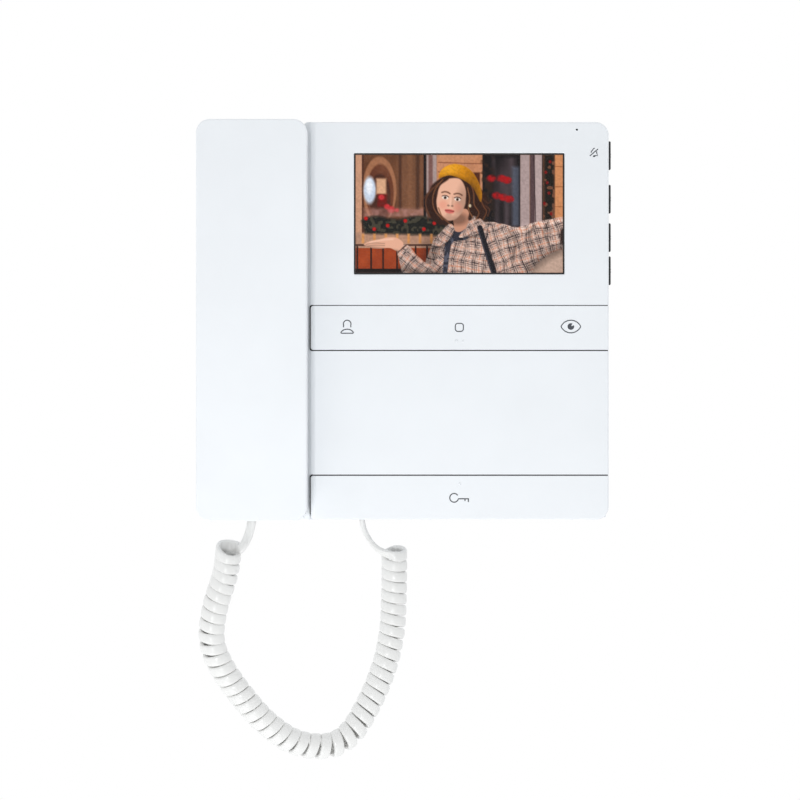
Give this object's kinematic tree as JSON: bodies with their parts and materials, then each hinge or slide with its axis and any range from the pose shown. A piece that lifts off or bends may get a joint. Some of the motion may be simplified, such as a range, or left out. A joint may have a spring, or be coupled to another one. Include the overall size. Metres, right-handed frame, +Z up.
{
  "type": "video intercom monitor",
  "caption": "Wall-mounted video intercom monitor with a flat colour screen, wide key bars, side keys and a handset on a curly cord.",
  "frame": {"origin": "centre of the wall bracket's rear face, on the wall", "axes": "+Y into the wall, +X to the right as seen from the front, +Z up; the front faces -Y"},
  "size_m": [0.1902, 0.044, 0.2934],
  "materials": {
    "white_plastic": "fine matt moulded ABS, white",
    "cord_plastic": "soft satin PVC, white",
    "black_keys": "satin black ABS",
    "black_plastic": "moulded black plastic",
    "rubber": "matt black foam rubber",
    "clear_plastic": "polished clear plastic",
    "screen": "glossy colour LCD, lit",
    "circuit_board": "green solder mask",
    "green_plastic": "moulded green nylon",
    "flex_film": "amber polyimide film",
    "zinc_steel": "zinc-plated sheet steel",
    "screw_steel": "plated screw steel",
    "brass": "plated brass can"
  },
  "bodies": {
    "base": {"base_jack": "black_plastic", "base_lead": "cord_plastic", "base_plug": "clear_plastic", "cover_screw_1": "screw_steel", "cover_screw_2": "screw_steel", "cover_screw_3": "screw_steel", "cover_screw_4": "screw_steel", "curly_cord": "cord_plastic", "display_gasket": "rubber", "display_window": "clear_plastic", "door_key_board": "circuit_board", "door_switch": "black_plastic", "flat_flex_cable": "flex_film", "front_cover": "white_plastic", "function_key_board": "circuit_board", "function_switch_1": "black_plastic", "function_switch_2": "black_plastic", "function_switch_3": "black_plastic", "handset_cradle": "white_plastic", "hook_switch": "black_plastic", "lcd_frame": "zinc_steel", "lcd_panel": "screen", "loudspeaker": "black_plastic", "main_board": "circuit_board", "microphone": "brass", "mute_light_guide": "clear_plastic", "rear_cover": "white_plastic", "side_key_board": "circuit_board", "side_switch_1": "black_plastic", "side_switch_2": "black_plastic", "side_switch_3": "black_plastic", "side_switch_4": "black_plastic", "terminal_block": "green_plastic", "wall_bracket": "zinc_steel"},
    "handset": {"handset_front_shell": "white_plastic", "handset_rear_shell": "white_plastic", "earpiece_capsule": "black_plastic", "mouthpiece_capsule": "zinc_steel", "mouthpiece_boot": "rubber", "handset_board": "circuit_board", "ballast_weight": "zinc_steel", "handset_jack": "black_plastic", "handset_plug": "clear_plastic", "handset_screw_1": "screw_steel", "handset_screw_2": "screw_steel", "handset_lead": "cord_plastic"},
    "rocker_plate": {"rocker_plate": "zinc_steel"},
    "function_bar": {"function_bar": "white_plastic"},
    "door_bar": {"door_bar": "white_plastic"},
    "hook_plunger": {"hook_plunger": "white_plastic"},
    "ringtone_key": {"ringtone_key": "black_keys"},
    "volume_key": {"volume_key": "black_keys"},
    "brightness_key": {"brightness_key": "black_keys"},
    "colour_key": {"colour_key": "black_keys"}
  },
  "joints": [
    {"name": "handset_lift", "type": "slide", "parent": "base", "child": "handset", "axis": [0, -0.866, 0.5], "range_m": [0, 0.08]},
    {"name": "hook_plunger_travel", "type": "slide", "parent": "base", "child": "hook_plunger", "axis": [0, -1, 0], "range_m": [0, 0.002]},
    {"name": "function_bar_press", "type": "slide", "parent": "base", "child": "rocker_plate", "axis": [0, 1, 0], "range_m": [0, 0.0006], "stiffness_N_per_m": 1500},
    {"name": "function_bar_rock", "type": "hinge", "parent": "rocker_plate", "child": "function_bar", "pos_m": [0.0257, -0.0239, -0.00315], "axis": [0, 0, 1], "range_deg": [-0.35, 0.35], "stiffness_Nm_per_rad": 6},
    {"name": "door_bar_press", "type": "slide", "parent": "base", "child": "door_bar", "axis": [0, 1, 0], "range_m": [0, 0.0006], "stiffness_N_per_m": 1500},
    {"name": "ringtone_key_press", "type": "slide", "parent": "base", "child": "ringtone_key", "axis": [-1, 0, 0], "range_m": [0, 0.0006], "stiffness_N_per_m": 1500},
    {"name": "volume_key_press", "type": "slide", "parent": "base", "child": "volume_key", "axis": [-1, 0, 0], "range_m": [0, 0.0006], "stiffness_N_per_m": 1500},
    {"name": "brightness_key_press", "type": "slide", "parent": "base", "child": "brightness_key", "axis": [-1, 0, 0], "range_m": [0, 0.0006], "stiffness_N_per_m": 1500},
    {"name": "colour_key_press", "type": "slide", "parent": "base", "child": "colour_key", "axis": [-1, 0, 0], "range_m": [0, 0.0006], "stiffness_N_per_m": 1500}
  ],
  "couplings": [
    {"joint": "hook_plunger_travel", "follows": "handset_lift", "ratio": 0.025}
  ]
}
